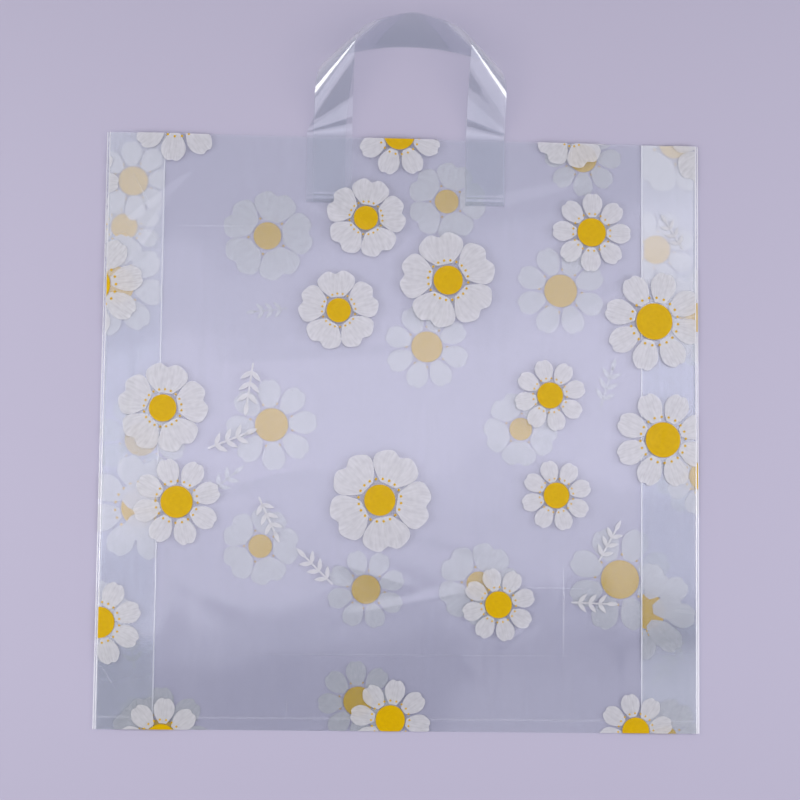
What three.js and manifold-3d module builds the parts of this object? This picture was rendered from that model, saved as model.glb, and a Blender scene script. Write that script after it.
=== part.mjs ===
// A carrier bag of clear polyethylene film, lying empty on its back. Its body is one tube of film with a
// gusset folded into each side, open at the mouth and welded shut by a seal line near the bottom. Two soft
// loop handles, strips of the same film, are welded inside the front and the back panel.
// Millimetres. X runs across the bag, Y from its bottom to the handles, Z up from the table. Everything is
// drawn from the middle of the mouth, on the table, and the finished bag is then centred on its own box.

import * as THREE from 'three';
import { mergeVertices } from 'three/addons/utils/BufferGeometryUtils.js';
import Module from 'manifold-3d';

// Driving dimensions of the body
const bagWidth = 450;
const bagHeight = 445;
const gussetDepth = 44; // from a side edge to the inner fold of its gusset
const filmWall = 0.3; // one layer, drawn thicker than the real film of about 0.09
const layerGap = 0.5; // air between layers that lie on each other
const sealedGap = 0.25; // the same beside the seal, where the layers are drawn together
const skirtLength = 9; // from the middle of the seal line to the cut bottom edge
const sealWidth = 2.4;
const sealRidge = 0.1; // how far the weld stands over the front panel
const settleLength = 60; // how far from the seal the layers take to spread to layerGap
const gussetStep = 28; // width over which the front panel comes down from the four layers to two
const foldRoom = 1.2; // the front panel keeps its full height this far past a gusset's inner fold

// How the empty bag lies: its front panel is a shallow pillow with soft waves
const puffHeight = 7;
const puffPeak = 0.55; // where it is highest, as a share of the way from the seal to the mouth
const mouthPuff = 0.8; // share of the puff that is left at the mouth
const puffSquareness = 2.4; // two is a round pillow, and more is flatter with steeper sides
const puffOnset = 1.5; // above one, the puff sets in gently at the seal
const waveHeight = 0.5;
const wavePitchAcross = 165;
const wavePitchAlong = 230;

// Driving dimensions of the handles
const stripWidth = 29.3;
const stripWall = 0.4;
const legSpacing = 116; // between the middles of a handle's two legs
const handleShift = 3; // the pair sits this far right of the middle of the bag
const weldLength = 50; // how far the legs run down inside the panels
const weldGap = 0.3; // between a leg and the film that it is welded to
const loopHeight = 83; // from the mouth to the middle of the strip at the top of the loop
const loopTilt = THREE.MathUtils.degToRad(43.6); // how far the strip leans back there
const nestGap = 0.8; // air between the front handle and the back one inside it
const tableGap = 0.3; // under the lowest edge of a handle
const mouthLead = 1; // the legs stay flat this far past the mouth
const legSplay = 5; // the back handle's left leg swings out this far at the mouth

// How a loop curls from its middle to where a leg straightens, at equal steps along half of it: the turn of
// the strip for each half-length, in radians, and the lean of the lines about which it turns, as the tangent
// of their angle from square. A lean near one makes the strip roll over cornerwise, as a folded ribbon does.
const loopCurl = [1.51, 1.43, 0.26, 2.03, 5.94, 0.3];
const loopLean = [0, 1.06, 1.2, 0.81, 1.73];

// Fineness of the facets
const panelSteps = 28;
const backSteps = 8;
const leafSteps = 3;
const foldSteps = 4;
const lengthSteps = 22;
const lengthCrowding = 1.6; // above one, the sections crowd towards the bottom
const mergeDistance = 1e-4;
const rollSteps = 40;
const legSteps = 10;
const weldSteps = 4;

// Values that follow from these
const halfWidth = (bagWidth - filmWall) / 2; // to the middle of the film at a side edge
const innerFold = halfWidth - gussetDepth;
const backMiddle = filmWall / 2;
const sealLine = skirtLength - bagHeight;
const { clamp, lerp, smoothstep } = THREE.MathUtils;

// Distance between the middles of two layers that lie on each other, at a distance y from the mouth.
function layerPitch(y) {
  const away = Math.abs(y - sealLine) - sealWidth;
  return filmWall + lerp(sealedGap, layerGap, smoothstep(away, 0, settleLength));
}

// Share of the full puff that the front panel has at a height, from none at the seal.
function puffAlong(y) {
  const way = clamp((y - sealLine) / -sealLine, 0, 1);
  const rise = Math.sin((Math.min(1, way / puffPeak) * Math.PI) / 2) ** puffOnset;
  return rise * lerp(1, mouthPuff, smoothstep(way, puffPeak, 1));
}

// Height of the middle of the front panel's film over the table.
function frontHeight(x, y) {
  const across = Math.max(0, 1 - Math.abs(x / halfWidth) ** puffSquareness);
  const layers = 1 + 2 * smoothstep(Math.abs(x), innerFold - gussetStep, innerFold - foldRoom);
  const wave =
    Math.sin((2 * Math.PI * x) / wavePitchAcross + y / wavePitchAlong) *
    Math.sin((2 * Math.PI * y) / wavePitchAlong);
  const puff = (puffHeight + waveHeight * wave) * across * puffAlong(y);
  return backMiddle + layers * layerPitch(y) + puff;
}

// Half a turn of the film about a fold, from below to above. bulge is 1 where it bulges to the right and -1
// to the left, and outside says whether the air outside the bag is on the bulging side.
function fold(x, z, radius, bulge, outside) {
  return Array.from({ length: foldSteps + 1 }, (_, i) => {
    const angle = Math.PI * (i / foldSteps - 0.5);
    const way = outside ? 1 : -1;
    return {
      x: x + bulge * radius * Math.cos(angle),
      z: z + radius * Math.sin(angle),
      outX: way * bulge * Math.cos(angle),
      outZ: way * Math.sin(angle),
    };
  });
}

// A flat stretch of film, without its end points. outZ is 1 where the outside of the bag is above it.
function flat(fromX, toX, heightAt, steps, outZ) {
  return Array.from({ length: steps - 1 }, (_, i) => {
    const x = lerp(fromX, toX, (i + 1) / steps);
    return { x, z: heightAt(x), outX: 0, outZ };
  });
}

// The right-hand side folds and gusset leaves of a section, from the back panel up to the front panel.
function rightGusset(y) {
  const pitch = layerPitch(y);
  const radius = pitch / 2;
  const edge = halfWidth - radius;
  const inner = innerFold + radius;
  const leaf = (layer) => () => backMiddle + layer * pitch;
  return [
    ...fold(edge, backMiddle + radius, radius, 1, true),
    ...flat(edge, inner, leaf(1), leafSteps, 1),
    ...fold(inner, backMiddle + pitch + radius, radius, -1, false),
    ...flat(inner, edge, leaf(2), leafSteps, -1),
    ...fold(edge, backMiddle + 2 * pitch + radius, radius, 1, true),
  ];
}

// The whole loop of film at one distance from the mouth, seen from the bottom of the bag: along the back
// panel, up the right gusset, back along the front panel and down the left gusset.
function filmLoop(y) {
  const right = rightGusset(y);
  const left = right.map((p) => ({ ...p, x: -p.x, outX: -p.outX })).reverse();
  const edge = right[0].x;
  return [
    ...flat(-edge, edge, () => backMiddle, backSteps, -1),
    ...right,
    ...flat(edge, -edge, (x) => frontHeight(x, y), panelSteps, 1),
    ...left,
  ];
}

// A closed geometry from rings of points. A ring is joined to the next one, and the last to the first where
// closed says so; otherwise the first and last rings are filled as convex caps.
function ringGeometry(rings, closed) {
  const count = rings[0].length;
  const positions = rings.flat().flatMap((p) => [p.x, p.y, p.z]);
  const index = [];
  const joints = closed ? rings.length : rings.length - 1;
  for (let r = 0; r < joints; r++) {
    const here = r * count;
    const next = ((r + 1) % rings.length) * count;
    for (let i = 0; i < count; i++) {
      const j = (i + 1) % count;
      index.push(here + i, next + j, here + j, here + i, next + i, next + j);
    }
  }
  if (!closed) {
    const last = (rings.length - 1) * count;
    for (let i = 1; i < count - 1; i++) {
      index.push(0, i, i + 1, last, last + i + 1, last + i);
    }
  }
  const geometry = new THREE.BufferGeometry();
  geometry.setAttribute('position', new THREE.Float32BufferAttribute(positions, 3));
  geometry.setIndex(index);
  return geometry;
}

// The gusseted tube, open at both ends: its outer rings run from the bottom edge to the mouth, and its inner
// rings back again.
function filmTube() {
  const outer = [];
  const inner = [];
  for (let j = 0; j <= lengthSteps; j++) {
    const y = -bagHeight * (1 - (j / lengthSteps) ** lengthCrowding);
    const loop = filmLoop(y);
    const shell = (side) =>
      loop.map((p) => new THREE.Vector3(p.x + side * p.outX, y, p.z + side * p.outZ));
    outer.push(shell(filmWall / 2));
    inner.unshift(shell(-filmWall / 2));
  }
  return ringGeometry([...inner, ...outer], true);
}

// The bar of melted film that closes the tube: it fills the stack of layers along the seal line.
function sealBar() {
  const outline = new THREE.Shape();
  outline.moveTo(-halfWidth, 0);
  outline.lineTo(halfWidth, 0);
  for (let i = 0; i <= panelSteps; i++) {
    const x = lerp(halfWidth, -halfWidth, i / panelSteps);
    outline.lineTo(x, frontHeight(x, sealLine) + filmWall / 2 + sealRidge);
  }
  const bar = new THREE.ExtrudeGeometry(outline, { depth: sealWidth, bevelEnabled: false });
  bar.rotateX(Math.PI / 2);
  bar.translate(0, sealLine + sealWidth / 2, 0);
  return bar;
}

const wasm = await Module();
wasm.setup();

function toSolid(geometry) {
  const bare = geometry.clone();
  bare.deleteAttribute('normal');
  bare.deleteAttribute('uv');
  const merged = mergeVertices(bare, mergeDistance);
  const vertProperties = new Float32Array(merged.attributes.position.array);
  const triVerts = new Uint32Array(merged.index.array);
  return new wasm.Manifold(new wasm.Mesh({ numProp: 3, vertProperties, triVerts }));
}

function toGeometry(solid) {
  const mesh = solid.getMesh();
  const geometry = new THREE.BufferGeometry();
  geometry.setAttribute('position', new THREE.Float32BufferAttribute(mesh.vertProperties, 3));
  geometry.setIndex([...mesh.triVerts]);
  return geometry;
}

function bagBody() {
  return toGeometry(toSolid(filmTube()).add(toSolid(sealBar())));
}

// Value of a list that is spread evenly over 0 to 1, between its entries.
function along(list, share) {
  const place = clamp(share, 0, 1) * (list.length - 1);
  const i = Math.min(Math.floor(place), list.length - 2);
  return lerp(list[i], list[i + 1], place - i);
}

// Half a loop of strip, rolled out from its middle to where the leg straightens, as a curve of length one.
// At each step the frame of the strip (ahead, up and across) turns about the leaning line of the surface, so
// the strip only bends and never stretches. Each entry has the middle of the strip and its frame.
function rollOut() {
  const ahead = new THREE.Vector3(1, 0, 0);
  const up = new THREE.Vector3(0, -Math.sin(loopTilt), Math.cos(loopTilt));
  const across = new THREE.Vector3().crossVectors(ahead, up);
  const middle = new THREE.Vector3();
  const entries = [];
  const note = (lean) =>
    entries.push({ middle: middle.clone(), ahead: ahead.clone(), up: up.clone(), across: across.clone(), lean });
  note(0);
  for (let i = 0; i < rollSteps; i++) {
    const share = (i + 0.5) / rollSteps;
    const lean = along(loopLean, share);
    const line = across.clone().addScaledVector(ahead, lean).normalize();
    const turn = (along(loopCurl, share) * Math.hypot(1, lean)) / rollSteps;
    const turnHalf = () => [ahead, up, across].forEach((v) => v.applyAxisAngle(line, turn / 2));
    turnHalf();
    middle.addScaledVector(ahead, 1 / rollSteps);
    turnHalf();
    note(along(loopLean, (i + 1) / rollSteps));
  }
  return entries;
}

// A smooth curve from one point and heading to another, at a share of the way.
function bridge(from, heading, to, arriving, share) {
  const reach = from.distanceTo(to);
  const s2 = share * share;
  const s3 = s2 * share;
  return new THREE.Vector3()
    .addScaledVector(from, 2 * s3 - 3 * s2 + 1)
    .addScaledVector(heading, (s3 - 2 * s2 + share) * reach)
    .addScaledVector(to, 3 * s2 - 2 * s3)
    .addScaledVector(arriving, (s3 - s2) * reach);
}

// The rungs of half a handle, from the middle of its loop to the end of a leg in the bag. A rung runs from
// edge a, the top of the loop and the inside of the leg, to edge b. inset is the distance by which this
// handle lies inside the front one, side is 1 for the right leg and -1 for the left, splay is how far the
// leg swings out at the mouth, and heightAt gives the height of the leg where it is welded.
function halfRungs({ inset, side, splay, heightAt }) {
  const roll = rollOut();
  const length = legSpacing / 2 / roll.at(-1).middle.x;
  const restHeight = (stripWidth / 2) * Math.sin(loopTilt) + stripWall / 2 + tableGap;
  const top = new THREE.Vector3(0, loopHeight, restHeight);
  const rungs = roll.map(({ middle, ahead, up, across, lean }) => {
    const centre = top.clone().addScaledVector(middle, length).addScaledVector(up, inset);
    const reach = across.clone().addScaledVector(ahead, lean).multiplyScalar(stripWidth / 2);
    return { a: centre.clone().sub(reach), b: centre.clone().add(reach) };
  });
  const end = rungs.at(-1);
  const heading = roll.at(-1).ahead;
  const down = new THREE.Vector3(0, -1, 0);
  const legPoint = (x, y) => new THREE.Vector3(x, y, heightAt(handleShift + side * x, y));
  const insideX = (legSpacing - stripWidth) / 2 + splay;
  const mouth = { a: legPoint(insideX, mouthLead), b: legPoint(insideX + stripWidth, mouthLead) };
  for (let i = 1; i <= legSteps; i++) {
    const share = i / legSteps;
    rungs.push({
      a: bridge(end.a, heading, mouth.a, down, share),
      b: bridge(end.b, heading, mouth.b, down, share),
    });
  }
  for (let i = 1; i <= weldSteps; i++) {
    const y = lerp(mouthLead, -weldLength, i / weldSteps);
    rungs.push({ a: legPoint(insideX, y), b: legPoint(insideX + stripWidth, y) });
  }
  const place = (p) => new THREE.Vector3(handleShift + side * p.x, p.y, p.z);
  return rungs.map(({ a, b }) => ({ a: place(a), b: place(b) }));
}

// A strip of even wall along its rungs, from one end to the other.
function stripGeometry(rungs) {
  const middle = ({ a, b }) => a.clone().add(b).multiplyScalar(0.5);
  const rings = rungs.map((rung, i) => {
    const before = middle(rungs[Math.max(0, i - 1)]);
    const after = middle(rungs[Math.min(rungs.length - 1, i + 1)]);
    const side = rung.b.clone().sub(rung.a);
    const face = after.sub(before).cross(side).setLength(stripWall / 2);
    return [
      rung.a.clone().add(face),
      rung.b.clone().add(face),
      rung.b.clone().sub(face),
      rung.a.clone().sub(face),
    ];
  });
  return ringGeometry(rings, false);
}

function handle({ inset, leftSplay, heightAt }) {
  const right = halfRungs({ inset, side: 1, splay: 0, heightAt });
  const left = halfRungs({ inset, side: -1, splay: leftSplay, heightAt });
  return stripGeometry([...left.reverse(), ...right.slice(1)]);
}

function frontHandle() {
  const under = filmWall / 2 + weldGap + stripWall / 2;
  return handle({
    inset: 0,
    leftSplay: 0,
    heightAt: (x, y) => frontHeight(x, Math.min(y, 0)) - under,
  });
}

function backHandle() {
  return handle({
    inset: stripWall + nestGap,
    leftSplay: legSplay,
    heightAt: () => filmWall + weldGap + stripWall / 2,
  });
}

function clearFilm(colour, opacity, roughness) {
  return new THREE.MeshStandardMaterial({
    color: colour,
    roughness,
    metalness: 0,
    transparent: true,
    opacity,
  });
}

function piece(name, geometry, material) {
  const mesh = new THREE.Mesh(geometry, material);
  mesh.name = name;
  return mesh;
}

const bag = new THREE.Group();
bag.add(
  piece('bag_body', bagBody(), clearFilm(0xd4d5e6, 0.35, 0.2)),
  piece('front_handle', frontHandle(), clearFilm(0xc9cde0, 0.5, 0.15)),
  piece('back_handle', backHandle(), clearFilm(0xb4b8cc, 0.5, 0.15)),
);
const box = new THREE.Box3().setFromObject(bag);
bag.position.set(0, -(box.min.y + box.max.y) / 2, -box.min.z);

export default bag;
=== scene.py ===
# %% [markdown]
# # A carrier bag of clear printed film
# The real object is a large carrier bag, blown and welded from clear polyethylene film. It has a
# gusset folded into each side, a heat-seal line near the bottom and two soft loop handles at the
# mouth, and its film is printed all round with white blossoms that have yellow hearts. It lies
# empty on its back, so the camera looks down on it.
#
# The solid model already fixes every size. This script loads it as a frame, and then makes each
# piece again with the detail that a camera sees: the creases of the film, the print on it, and
# what light does to it.

import math

import bpy
import numpy as np
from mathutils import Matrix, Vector


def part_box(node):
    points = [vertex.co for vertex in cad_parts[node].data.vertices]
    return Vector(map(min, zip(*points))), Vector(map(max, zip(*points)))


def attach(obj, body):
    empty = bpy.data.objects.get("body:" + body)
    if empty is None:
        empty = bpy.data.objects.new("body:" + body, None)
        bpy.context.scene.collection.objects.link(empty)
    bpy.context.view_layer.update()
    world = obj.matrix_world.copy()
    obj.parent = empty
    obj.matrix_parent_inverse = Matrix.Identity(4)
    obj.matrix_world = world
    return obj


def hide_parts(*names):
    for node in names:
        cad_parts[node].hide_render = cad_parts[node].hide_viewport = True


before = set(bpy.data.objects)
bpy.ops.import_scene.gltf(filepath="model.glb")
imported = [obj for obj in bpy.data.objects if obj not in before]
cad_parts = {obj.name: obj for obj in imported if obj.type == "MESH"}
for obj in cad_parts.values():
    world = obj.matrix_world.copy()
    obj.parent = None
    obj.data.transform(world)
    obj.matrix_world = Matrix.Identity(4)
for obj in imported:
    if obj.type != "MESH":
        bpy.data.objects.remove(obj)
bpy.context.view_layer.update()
print("nodes of the solid model:", sorted(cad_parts))

# %% [markdown]
# ## Sizes
# Blender works in metres, while film is bought in millimetres, so sizes are written as a number
# of millimetres times `mm`. They are the solid model's own, so each new piece lies where its node
# lies. Only the film itself is drawn thinner here, as thin as the real one, about the same middle
# surfaces: a solid needs more wall, but a thick wall shows as a dark rim along every edge. A
# place on the bag is given by x, across it, and y, which runs up the bag and is nought at the
# mouth.

# %% Sizes of the bag
mm = 0.001
bag_width, bag_height = 450 * mm, 445 * mm
gusset_depth = 44 * mm  # from a side edge to the inner fold of its gusset
film_wall, real_film = 0.3 * mm, 0.09 * mm
half_width = (bag_width - film_wall) / 2
inner_fold = half_width - gusset_depth
back_middle = film_wall / 2  # height of the middle of the back panel's film
seal_line = 9 * mm - bag_height
seal_reach = 2.4 * mm  # the layers are closest this far on each side of the seal line
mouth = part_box("bag_body")[1].y  # where the mouth is in the frame of the solid model
print(f"mouth at {mouth:.4f} m, seal line at {mouth + seal_line:.4f} m")

# %% [markdown]
# ## The camera
# The bag was photographed from above, a little from its left and from below its middle, with a
# long lens. That could be guessed by eye, but the four corners of the bag are known both in the
# picture and in millimetres, so the camera was worked out from them. That gives its place and
# turn, and the lens follows from the width of the picture.

# %% Camera over the bag
camera_data = bpy.data.cameras.new("camera")
camera_data.sensor_width = 36
camera_data.lens = 96.6
camera = bpy.data.objects.new("camera", camera_data)
camera.location = (-0.105, -0.1872, 1.6)
camera.rotation_euler = [math.radians(angle) for angle in (5.8, -3.76, 0.64)]
bpy.context.scene.collection.objects.link(camera)
bpy.context.scene.camera = camera

# %% [markdown]
# ## Helpers
# Every piece here is a surface on a grid of points. The points come from a formula, as one numpy
# array, and the faces are the quads between neighbouring points. A grid can be joined to itself
# in either direction, which makes a tube of it.


# %% Faces of a grid, and a piece from points and faces
def grid_faces(rows, columns, join_rows=False, join_columns=False):
    """Quads between neighbouring points of a grid whose points are numbered row by row."""
    row, column = np.mgrid[0 : rows - (not join_rows), 0 : columns - (not join_columns)]
    next_row, next_column = (row + 1) % rows, (column + 1) % columns
    corners = [(row, column), (row, next_column), (next_row, next_column), (next_row, column)]
    return np.stack([r * columns + c for r, c in corners], -1).reshape(-1, 4)


def add_piece(name, points, faces, finish, stands_for=None, marks=None):
    """A smooth mesh that rides on the bag. marks are extra numbers for each point, by name."""
    mesh = bpy.data.meshes.new(name)
    mesh.vertices.add(len(points))
    mesh.vertices.foreach_set("co", np.ravel(points))
    mesh.loops.add(faces.size)
    mesh.loops.foreach_set("vertex_index", np.ravel(faces).astype(np.int32))
    mesh.polygons.add(len(faces))
    mesh.polygons.foreach_set("loop_start", np.arange(0, faces.size, 4, dtype=np.int32))
    mesh.update(calc_edges=True)
    mesh.shade_smooth()
    for mark, values in (marks or {}).items():
        attribute = mesh.attributes.new(mark, "FLOAT", "POINT")
        attribute.data.foreach_set("value", np.ravel(values).astype(np.float32))
    mesh.materials.append(finish)
    piece = bpy.data.objects.new(name, mesh)
    bpy.context.scene.collection.objects.link(piece)
    if stands_for:
        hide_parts(stands_for)
    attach(piece, "root")
    print(f"{name}: {len(points)} points, {2 * len(faces)} triangles")


# %% [markdown]
# Materials are graphs of nodes. Short helpers add a node and fill its sockets, so that each
# material can be read from top to bottom like a recipe.


# %% Nodes of a material
def add_node(tree, kind, inputs=None, **settings):
    """A node of that kind. Each input is a number, a colour, or another node's output."""
    node = tree.nodes.new("ShaderNode" + kind)
    for setting, value in settings.items():
        setattr(node, setting, value)
    for socket, value in (inputs or {}).items():
        if isinstance(value, bpy.types.NodeSocket):
            tree.links.new(value, node.inputs[socket])
        else:
            node.inputs[socket].default_value = value
    return node


def calculate(tree, operation, first, second=0.0, third=0.0):
    """The result of a sum, product or other operation on numbers or sockets."""
    return add_node(tree, "Math", {0: first, 1: second, 2: third}, operation=operation).outputs[0]


def blend_colours(tree, share, low, high):
    """A colour between low and high."""
    inputs = {0: share, 6: low, 7: high}
    return add_node(tree, "Mix", inputs, data_type="RGBA").outputs[2]


def mix_shaders(tree, share, first, second):
    """Two shaders mixed: share is how much of the second there is."""
    return add_node(tree, "MixShader", {0: share, 1: first, 2: second}).outputs[0]


def noise(tree, place, scale, detail=1.0):
    """Soft random clouds at each place, scale of them in a metre."""
    inputs = {"Vector": place, "Scale": scale, "Detail": detail}
    return add_node(tree, "TexNoise", inputs).outputs[0]


def raised(tree, height, strength, distance):
    """A bump from a height between 0 and 1."""
    inputs = {"Height": height, "Strength": strength, "Distance": distance}
    return add_node(tree, "Bump", inputs).outputs[0]


def new_finish(name):
    """An empty material, with its node tree, its Object coordinates and its output's socket."""
    material = bpy.data.materials.new(name)
    material.use_nodes = True
    tree = material.node_tree
    tree.nodes.clear()
    place = add_node(tree, "TexCoord").outputs["Object"]
    return material, tree, place, add_node(tree, "OutputMaterial").inputs["Surface"]


# %% [markdown]
# ## Light
# Clear film is seen by what it mirrors, so each light is placed where some part of the bag shows
# it to the camera. A row of bluish softboxes overhead lies as bands across the panels, brightest
# in the middle. A tall box on each side shows in the gussets, and a small bright core in front of
# it draws the white streaks on the rolled shoulders of the handles. A low box in front lights
# their legs, and a small dim one overhead shows in the right half of the bag's bottom. The rest
# is a dim sky, which keeps film that leans back, such as the tops of the handles, darker than
# film that lies flat.


# %% Sky and softboxes
def studio_sky():
    """A sky that goes from its dim horizon to its zenith with the height of the direction."""
    world = bpy.data.worlds.new("studio_sky")
    world.use_nodes = True
    tree = world.node_tree
    tree.nodes.clear()
    direction = add_node(tree, "TexCoord").outputs["Generated"]
    height = add_node(tree, "SeparateXYZ", {0: direction}).outputs["Z"]
    share = add_node(tree, "MapRange", {"Value": height, "From Max": 0.9}).outputs[0]
    colour = blend_colours(tree, share, (0.27, 0.27, 0.28, 1), (0.29, 0.29, 0.3, 1))
    sky = add_node(tree, "Background", {"Color": colour})
    add_node(tree, "OutputWorld", {"Surface": sky.outputs[0]})
    return world


def add_softbox(name, place, target, size, radiance, colour=(1, 1, 1), turn=0.0):
    """A rectangular light that faces target. radiance is how bright its face looks."""
    light = bpy.data.lights.new(name, "AREA")
    light.color = colour
    light.shape = "RECTANGLE"
    light.size, light.size_y = size
    light.energy = radiance * math.pi * size[0] * size[1]
    lamp = bpy.data.objects.new(name, light)
    lamp.location = place
    facing = (Vector(target) - Vector(place)).to_track_quat("-Z", "Y").to_euler()
    facing.rotate_axis("Z", turn)
    lamp.rotation_euler = facing
    bpy.context.scene.collection.objects.link(lamp)


bpy.context.scene.world = studio_sky()
bluish = (0.89, 0.85, 1)
bag_top = (0, 0.1, 0)  # the lower lights face the top part of the bag
overhead, row_length = 1.7, 1.4
turn = math.radians(6)
for name, y, depth, radiance in (
    ("near_box", -0.125, 0.19, 1.4),
    ("overhead_box", 0.12, 0.3, 2.0),
    ("far_box", 0.35, 0.16, 1.5),
    ("farthest_box", 0.6, 0.34, 0.95),
):
    x = 0.105 - 0.1 * (y - 0.19)  # the row of boxes is turned as a whole
    add_softbox(name, (x, y, overhead), (x, y, 0), (row_length, depth), radiance, bluish, turn)
white = (1, 0.98, 0.98)
for name, place, size, radiance, slant in (
    ("left_box", (-0.83, -0.12, 0.84), (0.7, 1.1), 1.2, 0),
    ("right_box", (0.94, -0.1, 0.78), (0.7, 1.1), 0.7, 0),
    ("left_core", (-0.81, -0.1, 0.83), (0.46, 0.42), 6.0, 35),
    ("right_core", (0.92, -0.08, 0.79), (0.46, 0.42), 6.0, -37),
):
    add_softbox(name, place, bag_top, size, radiance, white, math.radians(slant))
add_softbox("front_box", (0.25, -0.75, 1.25), bag_top, (1.5, 0.7), 1.6, bluish)
x, y, size = 0.52, -0.34, (0.64, 0.16)
add_softbox("skirt_box", (x, y, overhead), (x, y, 0), size, 0.5, bluish, turn)

bpy.context.scene.view_settings.view_transform = "Standard"
bpy.context.scene.cycles.transparent_max_bounces = 48  # a ray meets many layers of film and print

# %% [markdown]
# ## The floor
# The bag lies on a plain pale sheet of lavender paper. The paper lies one millimetre under the
# bag, so that the two never share a height.


# %% Floor
def paper_finish():
    """Matt lavender paper with a faint, wide unevenness."""
    material, tree, place, surface = new_finish("lavender_paper")
    cloud = noise(tree, place, 3.0, 2.0)
    colour = blend_colours(tree, cloud, (0.439, 0.418, 0.523, 1), (0.448, 0.427, 0.533, 1))
    inputs = {"Base Color": colour, "Roughness": 0.9, "Specular IOR Level": 0.1}
    tree.links.new(add_node(tree, "BsdfPrincipled", inputs).outputs[0], surface)
    return material


floor_mesh = bpy.data.meshes.new("floor")
reach, level = 20, -1 * mm
floor_corners = [(x * reach, y * reach, level) for x, y in ((-1, -1), (1, -1), (1, 1), (-1, 1))]
floor_mesh.from_pydata(floor_corners, [], [(0, 1, 2, 3)])
floor_mesh.materials.append(paper_finish())
floor = bpy.data.objects.new("floor", floor_mesh)
bpy.context.scene.collection.objects.link(floor)

# %% [markdown]
# ## How the film lies
# The body is one tube of film. Going round it, there is the back panel on the table, then a side
# fold, two leaves of gusset with an inner fold between them, another side fold, the front panel
# on top, and the same on the other side. A cloth simulation would settle such layers, but it
# can't keep four of them half a millimetre apart. So their heights are formulas: layers lie a
# pitch apart, and the front panel is a very shallow pillow with soft waves, which comes down at
# the seal. The solid's pillow is 7 mm high, which leaves room for things in the bag. This one is
# 4.5 mm high, like that of an empty bag, so that its mirror images lie where a flat panel has
# them.


# %% Heights of the layers
settle_length = 60 * mm  # the layers spread out over this length from the seal
pillow_height, wave_height = 4.5 * mm, 0.5 * mm
wave_width, wave_length = 165 * mm, 230 * mm  # across the bag and along it
full_way, top_share = 0.55, 0.8  # where the pillow is highest, and what is left of it at the mouth
climb = 28 * mm  # the front panel climbs onto the gussets over this width


def smooth_step(value, low, high):
    """Goes from 0 at low to 1 at high, level at both ends."""
    share = np.clip((value - low) / (high - low), 0, 1)
    return share * share * (3 - 2 * share)


def layer_pitch(y):
    """Distance between two layers: they are drawn together at the seal and settle near it."""
    away = np.abs(y - seal_line) - seal_reach
    return film_wall + (0.25 + 0.25 * smooth_step(away, 0, settle_length)) * mm


def puff_along(y):
    """Share of the pillow's height: a quarter of a sine wave up from the seal, then slowly down."""
    way = np.clip((y - seal_line) / -seal_line, 0, 1)
    rise = np.sin(np.minimum(1, way / full_way) * np.pi / 2) ** 1.5
    return rise * (1 - (1 - top_share) * smooth_step(way, full_way, 1))


def smooth_front(x, y):
    """Height of the front panel without creases: its layers, a rounded pillow and a slow wave."""
    across = np.maximum(0, 1 - np.abs(x / half_width) ** 2.4)
    layers = 1 + 2 * smooth_step(np.abs(x), inner_fold - climb, inner_fold - 1.2 * mm)
    along = y / wave_length
    wave = np.sin(2 * np.pi * x / wave_width + along) * np.sin(2 * np.pi * along)
    pillow = (pillow_height + wave_height * wave) * across * puff_along(y)
    return back_middle + layers * layer_pitch(y) + pillow


# %% [markdown]
# Film that has been folded keeps thin creases. Each one is a low ridge along a short line: its
# profile across the line is a bell curve, and it fades out towards both ends. The list gives the
# middle of each crease, its direction, its length, and how high and how wide it is.

# %% Creases in the front panel
# middle x, middle y, angle in degrees, length, height and width, in millimetres
crease_list = [
    (-182, -42, 40, 60, 0.5, 3.0),
    (-186, -70, 62, 44, -0.4, 2.5),
    (-86, -425, 88, 30, 0.5, 2.0),
    (121, -362, 90, 84, 0.5, 2.5),
    (-212, -408, 70, 30, 0.35, 3.0),
    (-60, -170, 4, 130, 0.3, 6.0),
    (70, -204, -7, 150, 0.25, 7.0),
    (-120, -262, 12, 110, 0.25, 6.0),
    (30, -300, -14, 140, 0.2, 8.0),
    (150, -120, 33, 90, 0.3, 6.0),
    (-40, -60, -20, 100, 0.3, 6.0),
    (100, -44, 15, 90, -0.3, 6.0),
    (-10, -395, 24, 90, 0.35, 5.0),
    (60, -402, -35, 60, 0.3, 5.0),
    (-150, -340, -30, 90, 0.15, 8.0),
    (190, -250, 80, 120, 0.3, 4.0),
    (-200, -200, 84, 130, 0.3, 4.0),
    (-46, -386, 60, 40, 0.5, 3.0),
    (86, -378, 45, 40, 0.5, 3.0),
    (5, -352, 12, 90, 0.35, 5.0),
    (-20, -330, -20, 60, 0.3, 4.0),
]


def creases(x, y):
    """Sum of the ridges: a bell curve across each crease, times a flatter one along it."""
    height = 0
    for middle_x, middle_y, angle, length, ridge, width in crease_list:
        turn = math.radians(angle)
        from_x, from_y = x / mm - middle_x, y / mm - middle_y
        along = from_x * math.cos(turn) + from_y * math.sin(turn)
        across = from_y * math.cos(turn) - from_x * math.sin(turn)
        height = height + ridge * mm * np.exp(-((across / width) ** 2) - (2 * along / length) ** 4)
    return height


def front_height(x, y):
    """Height of the front panel's film. Its creases fade out at the side edges and the seal."""
    inside = smooth_step(half_width - np.abs(x), 0, 6 * mm)
    return smooth_front(x, y) + creases(x, y) * inside * np.sqrt(puff_along(y))


print(f"{len(crease_list)} creases, front panel up to {front_height(0.0, -0.2) / mm:.1f} mm high")
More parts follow.
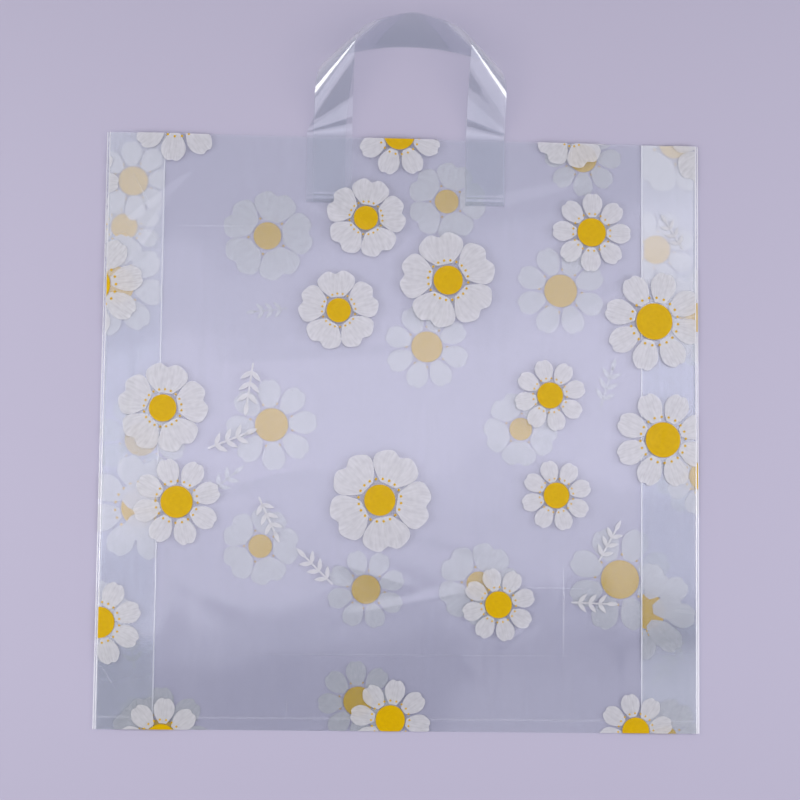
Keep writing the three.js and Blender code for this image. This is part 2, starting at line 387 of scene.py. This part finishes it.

# %% [markdown]
# ## The body
# The tube of film is one grid. Its rows are sections across the bag, and its columns run along
# it. The wall has two skins, so the grid goes up the outside of the film from the bottom edge to
# the mouth, turns over there, comes down the inside, and is joined to its own start. That makes a
# closed wall with a real edge.
#
# Each point also carries a mark, 1 on the folds and higher in the gussets' leaves near the seal,
# and the film's material paints the film milky by it. On the folds that is partly the real
# whitening of creased polyethylene and partly a painted highlight for the light that the rounded
# folds mirror. In the leaves it is a painted highlight.


# %% One section of the tube
fold_offset = 1.8 * mm  # the front panel's folds lie this far inside the back panel's
fold_points, leaf_points, back_points, front_points = 7, 8, 40, 130
fold_gap = 1 * mm  # a flat stretch begins and ends this far from its folds
# painted highlight: the gussets' leaves are painted milky, more so near the seal
leaf_highlight = 0.72  # fold mark of the gusset's leaves near the seal


def side_fold(edge_x, low, radius, bulge, outside):
    """Half a turn of film about a fold, from below to above.

    Its rows are x, the height, the two parts of the outward direction, and the fold mark.
    """
    angle = np.pi * (np.linspace(0, 1, fold_points) - 0.5)
    way = (1 if outside else -1) * np.ones(fold_points)
    x = edge_x + bulge * radius * np.cos(angle)
    z = low + radius + radius * np.sin(angle)
    return np.array([x, z, way * bulge * np.cos(angle), way * np.sin(angle), np.ones(fold_points)])


def flat_run(from_x, to_x, height, spread, up, mark=0.0):
    """A stretch of film from just past a fold to just before the next.

    spread gives the places of its points as shares of the way.
    """
    way = np.sign(to_x - from_x) * fold_gap
    x = from_x + way + (to_x - from_x - 2 * way) * spread
    return np.array([x, height(x) + 0 * x, 0 * x, up + 0 * x, mark + 0 * x])


def crowded(count, crowding):
    """Shares from 0 to 1 that lie closer together near both ends."""
    even = np.linspace(0, 1, count)
    return (1 - crowding) * even + crowding * (1 - np.cos(np.pi * even)) / 2


def right_gusset(y):
    """Fold, lower leaf, inner fold, upper leaf and fold, from the back panel up to the front."""
    pitch = layer_pitch(y)
    radius = pitch / 2
    edge, inner = half_width - radius, inner_fold + radius
    front_edge = edge - fold_offset
    # painted highlight on the leaves, growing towards the seal
    milk_and_highlight_share = leaf_highlight * smooth_step(-y, 310 * mm, 420 * mm)
    spread = crowded(leaf_points, 0.6)
    return [
        side_fold(edge, back_middle, radius, 1, True),
        flat_run(edge, inner, lambda x: back_middle + pitch, spread, 1, milk_and_highlight_share),
        side_fold(inner, back_middle + pitch, radius, -1, False),
        flat_run(inner, front_edge, lambda x: back_middle + 2 * pitch, spread, -1, milk_and_highlight_share),
        side_fold(front_edge, back_middle + 2 * pitch, radius, 1, True),
    ]


def film_section(y):
    """The loop of film at y: back panel to the right, gusset, front panel to the left, gusset."""
    right = right_gusset(y)
    # the left gusset's painted highlight and fold whitening are a little weaker
    mirror = np.array([[-1], [1], [-1], [1], [0.8]])  # the left gusset is a little less milky
    left = [(mirror * stretch)[:, ::-1] for stretch in right[::-1]]
    edge = half_width - layer_pitch(y) / 2
    back = flat_run(-edge, edge, lambda x: back_middle, crowded(back_points, 0.6), -1)
    edge = edge - fold_offset
    front = flat_run(edge, -edge, lambda x: front_height(x, y), crowded(front_points, 0.4), 1)
    return np.concatenate([back, *right, front, *left], axis=1)


# %% Points of the film, on its outer skin and its inner skin
rim = 0.05 * mm  # two rows this close together at an edge keep its rounding off the flat film
below_seal, above_seal = seal_line - 3 * mm, seal_line + 3 * mm
section_rows = np.concatenate(
    [
        [-bag_height],
        np.linspace(rim - bag_height, below_seal, 4),
        seal_line + np.linspace(-seal_reach, seal_reach, 9),
        above_seal + -above_seal * np.linspace(0, 1, 150)[:-1] ** 1.1,
        [-rim, 0],
    ]
)
sections = np.array([film_section(y) for y in section_rows])  # section, kind of number, column
columns = sections.shape[2]


def skin(side):
    """The sections moved half a wall along their outward directions, as points of the frame."""
    x, z, out_x, out_z, _ = np.moveaxis(sections, 1, 0)
    along = np.broadcast_to(section_rows[:, None] + mouth, x.shape)
    return np.stack([x + side * real_film / 2 * out_x, along, z + side * real_film / 2 * out_z], -1)


film_points = np.concatenate([skin(1), skin(-1)[::-1]])
film_faces = grid_faces(2 * len(section_rows), columns, join_rows=True, join_columns=True)[:, ::-1]
# the fold mark: crease whitening and painted highlight on the folds, painted highlight on the
# leaves
fold_highlight_mark = np.tile(sections[:, 4], (2, 1))
print(f"film: {len(section_rows)} sections of {columns} points")

# %% [markdown]
# ## Clear film
# Clear polyethylene is not glass: light goes through it almost unbent, because it is so thin. So
# it is a Transparent shader with a mirror over it. How much a skin of clear plastic mirrors
# depends on the angle: about four hundredths straight on, and nearly all at a grazing angle.
# Blender's ready node for that share would take the way out of the wall for the way into air from
# solid plastic, and turn its inner side into a full mirror. So the share comes from a short
# formula, a small share straight on plus the rest times the fifth power of one minus the cosine
# of the angle, and the wall mirrors once, where a ray enters it, with eight hundredths for both
# of its skins. Where a ray leaves it, and for the light that lamps and matt things send through
# it, the wall is only a pale tint.
#
# A little milky plastic is mixed in, with more of it along folds, at the seal and in the gussets'
# leaves near the seal. At the seal it is the white of melted polyethylene. Along the folds it is
# partly the white of creased film and partly a painted highlight, and in the leaves it is a painted
# highlight. A bump of slow ripples bends the mirror images, as on any film that has lain folded.


# %% The film's finish
def clear_sheen(tree, tint, roughness, bump):
    """Tinted clear film under a mirror, whose share is 0.08 + 0.92 (1 - cosine of the angle)^5."""
    facing = add_node(tree, "LayerWeight", {"Blend": 0.5, "Normal": bump}).outputs["Facing"]
    share = calculate(tree, "MULTIPLY_ADD", calculate(tree, "POWER", facing, 5.0), 0.92, 0.08)
    clear = add_node(tree, "BsdfTransparent", {"Color": tint})
    inputs = {"Color": (1, 1, 1, 1), "Roughness": roughness, "Normal": bump}
    mirror = add_node(tree, "BsdfGlossy", inputs)
    return mix_shaders(tree, share, clear.outputs[0], mirror.outputs[0])


def on_way_in(tree, film, tint):
    """The film where a ray enters its wall; a clear tint on its way out and for scattered light."""
    path = add_node(tree, "LightPath").outputs
    leaving = add_node(tree, "NewGeometry").outputs["Backfacing"]
    passing = calculate(tree, "ADD", path["Is Shadow Ray"], path["Is Diffuse Ray"])
    passing = calculate(tree, "MAXIMUM", passing, leaving)
    plain = add_node(tree, "BsdfTransparent", {"Color": tint}).outputs[0]
    return mix_shaders(tree, passing, film, plain)


def pressed_seal(tree, place):
    """1 on the ribs that the sealing bar presses across its line, 0.4 between them, 0 off it."""
    x, y = (add_node(tree, "SeparateXYZ", {0: place}).outputs[i] for i in (0, 1))
    off_line = calculate(tree, "ABSOLUTE", calculate(tree, "SUBTRACT", y, mouth + seal_line))
    on_line = calculate(tree, "LESS_THAN", off_line, 0.7 * mm)
    rib_width = 0.6 * mm
    across = calculate(tree, "PINGPONG", x, rib_width)
    rib = calculate(tree, "GREATER_THAN", across, rib_width / 2)
    return calculate(tree, "MULTIPLY", on_line, calculate(tree, "MULTIPLY_ADD", rib, 0.6, 0.4))


def clear_film_finish():
    """Clear film with faint streaks from its blowing, white at its seal. Its folds are milky,
    partly from crease whitening and partly as painted highlight, and the gussets' leaves as painted
    highlight.
    """
    material, tree, place, surface = new_finish("clear_film")
    bump = raised(tree, noise(tree, place, 12.0), 0.25, 2 * mm)
    tint = (0.94, 0.948, 0.958, 1)
    sheen = clear_sheen(tree, tint, 0.08, bump)
    stretched = add_node(tree, "Mapping", {"Vector": place, "Scale": (150, 6, 6)}).outputs[0]
    streak = noise(tree, stretched, 1.0)
    fold = add_node(tree, "Attribute", attribute_name="fold").outputs["Fac"]
    # painted highlight along the folds and on the leaves, with the real whitening of creases and
    # seal
    whitening_and_highlight = calculate(tree, "MULTIPLY", calculate(tree, "POWER", fold, 1.6), 0.65)
    whitening_and_highlight = calculate(tree, "MULTIPLY_ADD", pressed_seal(tree, place), 0.06, whitening_and_highlight)
    milk_and_highlight_share = calculate(tree, "MULTIPLY_ADD", streak, 0.03, whitening_and_highlight)
    inputs = {"Base Color": (0.85, 0.85, 0.88, 1), "Roughness": 0.35, "Normal": bump}
    milk_and_highlight_shader = add_node(tree, "BsdfPrincipled", inputs).outputs[0]
    film = mix_shaders(tree, milk_and_highlight_share, sheen, milk_and_highlight_shader)
    tree.links.new(on_way_in(tree, film, tint), surface)
    return material


film_finish = clear_film_finish()
add_piece(
    "film_body",
    film_points.reshape(-1, 3),
    film_faces,
    film_finish,
    stands_for="bag_body",
    marks={"fold": fold_highlight_mark},
)

# %% [markdown]
# Where a fold was pressed flat, the film keeps a crisp line, finer than this grid. Each is a low
# roof over the front panel, a millimetre wide, whose two slopes mirror different lights.


# %% Crisp creases
roof_rows, roof_half_width, roof_ridge = 25, 0.5 * mm, 0.12 * mm
longest_full = 80  # mm: a longer crease is lower in proportion


def roof(middle_x, middle_y, angle, length):
    """A roof over a line: s runs along it and t across, and its width and ridge go as 1 - s^2."""
    s, t = np.meshgrid(np.linspace(-1, 1, roof_rows), np.array([-1.0, 0, 1]), indexing="ij")
    taper = 1 - 0.98 * s**2
    along, across = s * length / 2 * mm, t * roof_half_width * taper
    cos, sin = math.cos(math.radians(angle)), math.sin(math.radians(angle))
    x = middle_x * mm + along * cos - across * sin
    y = middle_y * mm + along * sin + across * cos
    ridge = (1 - np.abs(t)) * taper * roof_ridge * min(1, longest_full / length)
    return np.stack([x, y + mouth, front_height(x, y) + real_film / 2 + 0.02 * mm + ridge], -1)


# middle x, middle y, angle in degrees and length, in millimetres
crisp_list = [
    (-198, -43, -60, 30),
    (-214, -408, -58, 27),
    (-83, -429, 88, 16),
    (122, -355, 90, 80),
    (-134, -70, 1, 92),
    (-196, -175, -80, 36),
    (10, -389, 0.3, 320),
    (95, -338, -0.5, 150),
]
roofs = np.array([roof(*crisp) for crisp in crisp_list])
roof_size = roofs[0, ..., 0].size
roof_faces = grid_faces(roof_rows, 3)[:, ::-1] + roof_size * np.arange(len(roofs))[:, None, None]
add_piece(
    "crisp_creases",
    roofs.reshape(-1, 3),
    roof_faces.reshape(-1, 4),
    film_finish,
    marks={"fold": np.full(roof_size * len(roofs), 0.1)},
)

# %% [markdown]
# ## The handles
# Each handle is a strip of the same film, thicker and about 29 mm wide. Lying down, its loop
# leans back and its shoulders roll over cornerwise, as a folded ribbon does. A strip can bend but
# not stretch, so it can't be drawn with just any curve. It is rolled out step by step instead: at
# each step its frame of three directions turns a little about a line that lies slanting across
# the strip, and then moves ahead. The two lists say how much it turns on the way from its middle
# to its leg, and how far the line slants. Where the strip rolls over at its shoulders, it is bent
# most, and there its milky colour is made whiter and stronger as a painted highlight for the light
# that the roll mirrors. Each point carries a mark for that too.

# %% Sizes of the handles
strip_width, strip_wall, real_strip = 29.3 * mm, 0.4 * mm, 0.15 * mm
leg_spacing = 116 * mm
handle_shift = 3 * mm  # the pair sits this far right of the middle of the bag
weld_length, weld_gap = 50 * mm, 0.3 * mm
loop_height = 83 * mm
loop_tilt = math.radians(43.6)
loop_curl = [1.51, 1.43, 0.26, 2.03, 5.94, 0.3]
loop_lean = [0, 1.06, 1.2, 0.81, 1.73]
roll_steps, leg_steps, weld_steps = 120, 24, 6
rim_share = 0.002  # a column this close to each edge keeps its rounding off the strip
# the painted shoulder highlight is centred on this ring and spreads over this many rings
shoulder_step, shoulder_reach = 80, 20  # the ring at a shoulder's middle, and rings on each side


# %% Rolling out half a strip
def turned(vectors, axis, angle):
    """Vectors turned about an axis of length one: what lies along it stays, the rest turns."""
    along = (vectors @ axis)[:, None] * axis
    return along + (vectors - along) * math.cos(angle) + np.cross(axis, vectors) * math.sin(angle)


def spread_value(values, share):
    """The value at a share of the way along a list whose entries are evenly spread."""
    return np.interp(share, np.linspace(0, 1, len(values)), values)


def roll_out():
    """Middles and frames (ahead, up, across) of half a strip whose curve has the length one."""
    ahead, up = np.array([1.0, 0, 0]), np.array([0, -math.sin(loop_tilt), math.cos(loop_tilt)])
    way, middle = np.array([ahead, up, np.cross(ahead, up)]), np.zeros(3)
    middles, ways = [middle], [way]
    for share in (np.arange(roll_steps) + 0.5) / roll_steps:
        lean = spread_value(loop_lean, share)
        line = (way[2] + lean * way[0]) / math.hypot(1, lean)
        turn = spread_value(loop_curl, share) * math.hypot(1, lean) / roll_steps
        way = turned(way, line, turn / 2)
        middle = middle + way[0] / roll_steps
        way = turned(way, line, turn / 2)
        middles.append(middle)
        ways.append(way)
    return np.array(middles), np.array(ways)


middles, ways = roll_out()
print(f"half a loop reaches {middles[-1][0]:.3f} of its length sideways")


# %% From the roll to the leg, and the leg welded in the bag
def bridge(start, heading, end, arriving, share):
    """A cubic curve that leaves a point with one heading and reaches another point with another."""
    s, reach = share[:, None], np.linalg.norm(end - start)
    leave = (2 * s**3 - 3 * s**2 + 1) * start + (s**3 - 2 * s**2 + s) * reach * heading
    return leave + (3 * s**2 - 2 * s**3) * end + (s**3 - s**2) * reach * arriving


def half_strip(inset, side, splay, leg_height):
    """Two edges of half a handle, from the middle of its loop to the end of a leg, as points."""
    scale = leg_spacing / 2 / middles[-1][0]
    rest = strip_width / 2 * math.sin(loop_tilt) + strip_wall / 2 + 0.3 * mm
    centre = np.array([0, loop_height, rest]) + scale * middles + inset * ways[:, 1]
    lean = spread_value(loop_lean, np.linspace(0, 1, roll_steps + 1))[:, None]
    reach = (ways[:, 2] + lean * ways[:, 0]) * strip_width / 2
    inside = (leg_spacing - strip_width) / 2 + splay
    leg_y = np.linspace(1 * mm, -weld_length, weld_steps + 1)
    edges = []
    for rolled, leg_x in ((centre - reach, inside), (centre + reach, inside + strip_width)):
        leg_z = leg_height(handle_shift + side * leg_x, leg_y)
        leg = np.stack([leg_x + 0 * leg_y, leg_y, leg_z + 0 * leg_y], -1)
        share = np.linspace(0, 1, leg_steps + 1)[1:-1]
        bent = bridge(rolled[-1], ways[-1][0], leg[0], np.array([0, -1.0, 0]), share)
        edges.append(np.concatenate([rolled, bent, leg]))
    return np.array(edges) * [side, 1, 1] + [handle_shift, mouth, 0]


def strip_points(inset, left_splay, leg_height):
    """The strip as rings of points: across its upper face and back across its lower face."""
    left = half_strip(inset, -1, left_splay, leg_height)[:, :0:-1]
    first, second = np.concatenate([left, half_strip(inset, 1, 0, leg_height)], axis=1)
    heading = np.gradient((first + second) / 2, axis=0)
    face = np.cross(heading, second - first)
    face *= real_strip / 2 / np.linalg.norm(face, axis=1)[:, None]
    share = np.concatenate([[0, rim_share], np.linspace(0, 1, 9)[1:-1], [1 - rim_share, 1]])
    across = first + share[:, None, None] * (second - first)
    return np.concatenate([across + face, (across - face)[::-1]]).swapaxes(0, 1)


def shoulder_highlight_marks(rings):
    """For each ring of points, the share of painted highlight: 1 where the strip rolls over at its
    shoulders, and 0 elsewhere.
    """
    step = np.abs(np.arange(rings) - rings // 2)
    return np.exp(-(((step - shoulder_step) / shoulder_reach) ** 4))


def strip_faces(rings, ring):
    """Faces of a closed ring carried along, with a row of quads over each end."""
    i = np.arange(ring // 2 - 1)
    cap = np.stack([i, ring - 1 - i, ring - 2 - i, i + 1], -1)
    last = cap[:, ::-1] + (rings - 1) * ring
    return np.concatenate([grid_faces(rings, ring, join_columns=True), cap, last])[:, ::-1]


# %% The handles' finish
def strip_film_finish():
    """Thicker film: greyer, a little milky, with a painted white highlight where it rolls over."""
    material, tree, place, surface = new_finish("strip_film")
    bump = raised(tree, noise(tree, place, 50.0), 0.15, 1 * mm)
    tint = (0.925, 0.935, 0.945, 1)
    sheen = clear_sheen(tree, tint, 0.06, bump)
    # the shoulder mark paints a highlight: a whiter, stronger milky colour where the strip rolls
    # over
    shoulder_highlight = add_node(tree, "Attribute", attribute_name="shoulder_highlight").outputs["Fac"]
    colour = blend_colours(tree, shoulder_highlight, (0.62, 0.65, 0.74, 1), (0.88, 0.86, 0.91, 1))
    inputs = {"Base Color": colour, "Roughness": 0.3, "Normal": bump}
    milk_and_highlight_shader = add_node(tree, "BsdfPrincipled", inputs).outputs[0]
    milk_and_highlight_share = calculate(tree, "MULTIPLY_ADD", shoulder_highlight, 0.3, 0.07)
    film = mix_shaders(tree, milk_and_highlight_share, sheen, milk_and_highlight_shader)
    tree.links.new(on_way_in(tree, film, tint), surface)
    return material


# %% The two handles
strip_finish = strip_film_finish()


def front_leg(x, y):
    """The front handle's legs are welded under the front panel."""
    return smooth_front(x, np.minimum(y, 0)) - (film_wall / 2 + weld_gap + strip_wall / 2)


def back_leg(x, y):
    """The back handle's legs are welded on top of the back panel."""
    return film_wall + weld_gap + strip_wall / 2


for name, node, inset, splay, leg in (
    ("front_loop", "front_handle", 0, 0, front_leg),
    ("back_loop", "back_handle", 1.2 * mm, 5 * mm, back_leg),
):
    rings = strip_points(inset, splay, leg)
    faces = strip_faces(*rings.shape[:2])
    # the shoulder mark, where the handles get their painted highlight
    marks = {"shoulder_highlight": np.repeat(shoulder_highlight_marks(len(rings)), rings.shape[1])}
    add_piece(name, rings.reshape(-1, 3), faces, strip_finish, node, marks)

# %% [markdown]
# ## The print
# The film is printed flat, before it is folded and welded, so the pattern runs round the side
# folds and is cut off at the mouth and the bottom. A picture wrapped on the film would blur when
# seen close up. So each patch of ink is a thin surface just over the film. Its outline is drawn
# on the unrolled tube, where u runs round the bag and y along it, and then each panel takes what
# falls on it: points past a fold are moved to the fold, which cuts the shape cleanly there.

# %% The panels, going round from the front panel's left edge
fold_margin = 0.6 * mm
least_area = 0.002 * mm * mm  # a face smaller than this has been cut away
front_end = half_width
back_start = half_width + 2 * gusset_depth
girth = 4 * half_width + 4 * gusset_depth
# start and end of u, x at the start, direction of x, layers below, and which way is outside
panels = [
    (-front_end, front_end, -half_width, 1, None, 1),
    (front_end, front_end + gusset_depth, half_width, -1, 2, -1),
    (front_end + gusset_depth, back_start, inner_fold, 1, 1, 1),
    (back_start, back_start + 2 * half_width, half_width, -1, 0, -1),
    (back_start + 2 * half_width, girth - half_width - gusset_depth, -half_width, 1, 1, 1),
    (girth - half_width - gusset_depth, girth - half_width, -inner_fold, -1, 2, -1),
]


def on_panel(panel, u, y, lift):
    """Points of the frame for places on one panel of the unrolled tube, lift over its face."""
    start, _, start_x, way, layers, outside = panel
    x = start_x + way * (u - start)
    middle = front_height(x, y) if layers is None else back_middle + layers * layer_pitch(y)
    return np.stack([x, y + mouth, middle + outside * (real_film / 2 + lift)], -1)


def print_on(panel, flat, faces, marks, lift):
    """The part of a flat shape that falls on a panel: points, the faces left, and their marks."""
    start, end = panel[:2]
    # a fold takes up this much of a panel, and more of the front panel and of the leaf under it
    margin = fold_margin + fold_offset * (panel[4] in (None, 2))
    turns = np.round(((start + end) / 2 - flat[..., 0].mean()) / girth) * girth
    u = np.clip(flat[..., 0] + turns, start + margin, end - margin)
    y = np.clip(flat[..., 1], -bag_height, 0)
    corner = np.stack([u, y], -1)[faces]
    first, second = corner[:, 2] - corner[:, 0], corner[:, 3] - corner[:, 1]
    area = np.abs(first[:, 0] * second[:, 1] - first[:, 1] * second[:, 0]) / 2
    kept = faces[area > least_area]
    used, numbers = np.unique(kept, return_inverse=True)
    points = on_panel(panel, u[used], y[used], lift)
    numbers = numbers.reshape(kept.shape)
    return points, numbers, marks[used]


# %% [markdown]
# ## The blossoms
# Two kinds of blossom are mixed: two in three have eight broad petals with a notched tip, and the
# others have five rounder ones. A petal is a grid with two parameters, one across it and one from
# its base to its tip. The heart is a round disc with a ring of small dots about it. Small sprigs
# of leaves fill the gaps.


# %% Flat shapes of the print
def petals(radius, count, turn, base, width, notch):
    """Petals round a centre. Each widens from its base, and ends in a rounded tip with a notch."""
    across, along = np.meshgrid(np.linspace(-1, 1, 13), np.linspace(0, 1, 10))
    tip = 1 - 0.3 * np.abs(across) ** 2.6 - notch * np.exp(-((across / 0.25) ** 2))
    distance = base + (1 - base) * along * tip
    sideways = across * width * (0.35 + 0.65 * np.sin(along * np.pi * 0.62))
    angle = (turn + 2 * np.pi * np.arange(count) / count)[:, None, None]
    u = distance * np.cos(angle) - sideways * np.sin(angle)
    y = distance * np.sin(angle) + sideways * np.cos(angle)
    marks = np.broadcast_to(np.stack([across, along], -1), (count, *across.shape, 2))
    each = grid_faces(*across.shape)[:, ::-1]
    faces = (each + across.size * np.arange(count)[:, None, None]).reshape(-1, 4)
    return radius * np.stack([u, y], -1).reshape(-1, 2), faces, marks.reshape(-1, 2)


def discs(centres, radius, rings, spokes):
    """Round discs: rings of points about each centre, closed at the centre itself."""
    turns = 2 * np.pi * np.arange(spokes) / spokes
    angle, share = np.meshgrid(turns, np.linspace(0.02, 1, rings))
    disc = radius * share[..., None] * np.stack([np.cos(angle), np.sin(angle)], -1)
    flat = np.asarray(centres)[:, None, None] + disc
    each = grid_faces(rings, spokes, join_columns=True)[:, ::-1]
    middle = np.arange(spokes // 2 - 1)
    centre = np.stack([middle, middle + 1, spokes - 2 - middle, spokes - 1 - middle], -1)
    each = np.concatenate([each, centre])
    faces = (each + disc[..., 0].size * np.arange(len(flat))[:, None, None]).reshape(-1, 4)
    marks = np.broadcast_to(np.stack([share, angle], -1), (len(flat), *share.shape, 2))
    return flat.reshape(-1, 2), faces, marks.reshape(-1, 2)


leaf_angle = 0.85  # between a leaf and its stem, in radians


def spin(angle):
    """The matrix that turns rows of flat points by an angle."""
    cos, sin = math.cos(angle), math.sin(angle)
    return np.array([[cos, sin], [-sin, cos]])


def sprig(radius, turn):
    """A stem with three pairs of leaves and one at its end: each leaf is a pointed oval."""
    across, along = np.meshgrid(np.linspace(-1, 1, 5), np.linspace(0.02, 0.98, 9))
    leaf = np.stack([along, across * 0.17 * np.sin(np.pi * along**0.8)], -1) * 0.62
    stem = np.stack([along, across * 0.02], -1) * 2 - [1, 0]
    parts = [stem]
    for place in (-0.6, -0.1, 0.4):
        for side in (-1, 1):
            parts.append(leaf @ spin(side * leaf_angle) + [place, 0])
    parts.append(leaf + [0.8, 0])
    parts = np.array(parts)
    flat = radius * parts @ spin(turn)
    marks = np.broadcast_to(np.stack([across, along], -1), (len(parts), *across.shape, 2))
    faces = grid_faces(*across.shape)[:, ::-1] + across.size * np.arange(len(parts))[:, None, None]
    return flat.reshape(-1, 2), faces.reshape(-1, 4), marks.reshape(-1, 2)


# %% [markdown]
# A printer's repeat would show on so small a bag, so the blossoms are scattered: places are drawn
# at random on the unrolled tube, with a fixed seed, and a place is kept if it is clear of those
# already taken.


# %% Where the blossoms and sprigs are
most_tries = 4000


def round_tube(way):
    """The shorter way round the tube, with its sign."""
    return (way + girth / 2) % girth - girth / 2


def scatter(taken, count, low, high, clearance, random):
    """Adds up to count circles (u, y, radius, turn) that keep clear of those taken, all round."""
    for _ in range(most_tries):
        if count == 0:
            break
        u = random.uniform(-half_width, girth - half_width)
        y = random.uniform(-bag_height - 15 * mm, 15 * mm)
        radius = random.uniform(low, high)
        if all(
            math.hypot(round_tube(u - other_u), y - other_y) > radius + other_radius + clearance
            for other_u, other_y, other_radius, _ in taken
        ):
            taken.append((u, y, radius, random.uniform(0, 2 * math.pi)))
            count -= 1
    return taken


random = np.random.default_rng(5)
blossoms = scatter([], 44, 27 * mm, 42 * mm, 3 * mm, random)
sprigs = scatter(list(blossoms), 14, 13 * mm, 17 * mm, 2 * mm, random)[len(blossoms) :]
print(f"{len(blossoms)} blossoms and {len(sprigs)} sprigs")


# %% [markdown]
# ## Ink
# The white ink is thin: what lies behind shows through it, more so in fine streaks along each
# petal, and it is as glossy as the film, so it brightens where the film does. The yellow covers
# better and is matter.


# %% The inks' finishes
def ink_finish(name, thin, thick, cover, spread, gloss):
    """Ink of two colours. cover is how much it hides of what lies behind, give or take a little."""
    material, tree, place, surface = new_finish(name)
    across = add_node(tree, "Attribute", attribute_name="across").outputs["Fac"]
    along = add_node(tree, "Attribute", attribute_name="along").outputs["Fac"]
    petal = add_node(tree, "CombineXYZ", {0: calculate(tree, "MULTIPLY", across, 5.0), 1: along})
    streak = noise(tree, petal.outputs[0], 1.6)
    mottle = noise(tree, place, 320.0, 0.0)
    density = calculate(tree, "MULTIPLY_ADD", streak, 0.7, calculate(tree, "MULTIPLY", mottle, 0.3))
    colour = blend_colours(tree, density, thin, thick)
    alpha = calculate(tree, "MULTIPLY_ADD", density, spread, cover - spread / 2)
    inputs = {"Base Color": colour, "Roughness": 0.15, "Specular IOR Level": gloss, "Alpha": alpha}
    tree.links.new(add_node(tree, "BsdfPrincipled", inputs).outputs[0], surface)
    return material


white_ink = ink_finish("white_ink", (0.54, 0.54, 0.55, 1), (0.66, 0.66, 0.68, 1), 0.7, 0.3, 1.0)
yellow_ink = ink_finish("yellow_ink", (0.52, 0.31, 0.0, 1), (0.64, 0.41, 0.0, 1), 0.97, 0.06, 0.1)


# %% Draw the print on every panel
white_lift, yellow_lift, dot_lift = 0.04 * mm, 0.06 * mm, 0.08 * mm  # over the film
dots = 20


def flat_print():
    """All shapes on the unrolled tube, as (points, faces, marks, lift) for white and for yellow."""
    white, yellow = [], []
    for number, (u, y, radius, turn) in enumerate(blossoms):
        eight = number % 3 > 0
        heart = (0.36 if eight else 0.3) * radius
        shape = (8, turn, 0.38, 0.25, 0.07) if eight else (5, turn, 0.33, 0.46, 0.16)
        flat, faces, marks = petals(radius, *shape)
        white.append((flat + [u, y], faces, marks, white_lift))
        flat, faces, marks = discs([(u, y)], heart, 6, 32)
        yellow.append((flat, faces, marks, yellow_lift))
        angle = turn + 2 * np.pi * np.arange(dots) / dots
        ring = np.stack([np.cos(angle), np.sin(angle)], -1) * (heart + 0.11 * radius) + [u, y]
        flat, faces, marks = discs(ring, 0.026 * radius, 2, 8)
        yellow.append((flat, faces, marks, dot_lift))
    for u, y, radius, turn in sprigs:
        flat, faces, marks = sprig(radius, turn)
        white.append((flat + [u, y], faces, marks, white_lift))
    return white, yellow


def print_piece(name, shapes, chosen, finish):
    """One piece with what falls on the chosen panels."""
    points, faces, marks, count = [], [], [], 0
    for panel in chosen:
        for flat, flat_faces, flat_marks, lift in shapes:
            part = print_on(panel, flat, flat_faces, flat_marks, lift)
            points.append(part[0])
            faces.append(part[1] + count)
            marks.append(part[2])
            count += len(part[0])
    marks = np.concatenate(marks)
    marks = {"across": marks[:, 0], "along": marks[:, 1]}
    add_piece(name, np.concatenate(points), np.concatenate(faces), finish, marks=marks)


white, yellow = flat_print()
gusset_panels = panels[1:3] + panels[4:]
for place, chosen in (("front", panels[:1]), ("back", panels[3:4]), ("gusset", gusset_panels)):
    print_piece(f"petals_{place}", white, chosen, white_ink)
    print_piece(f"hearts_{place}", yellow, chosen, yellow_ink)
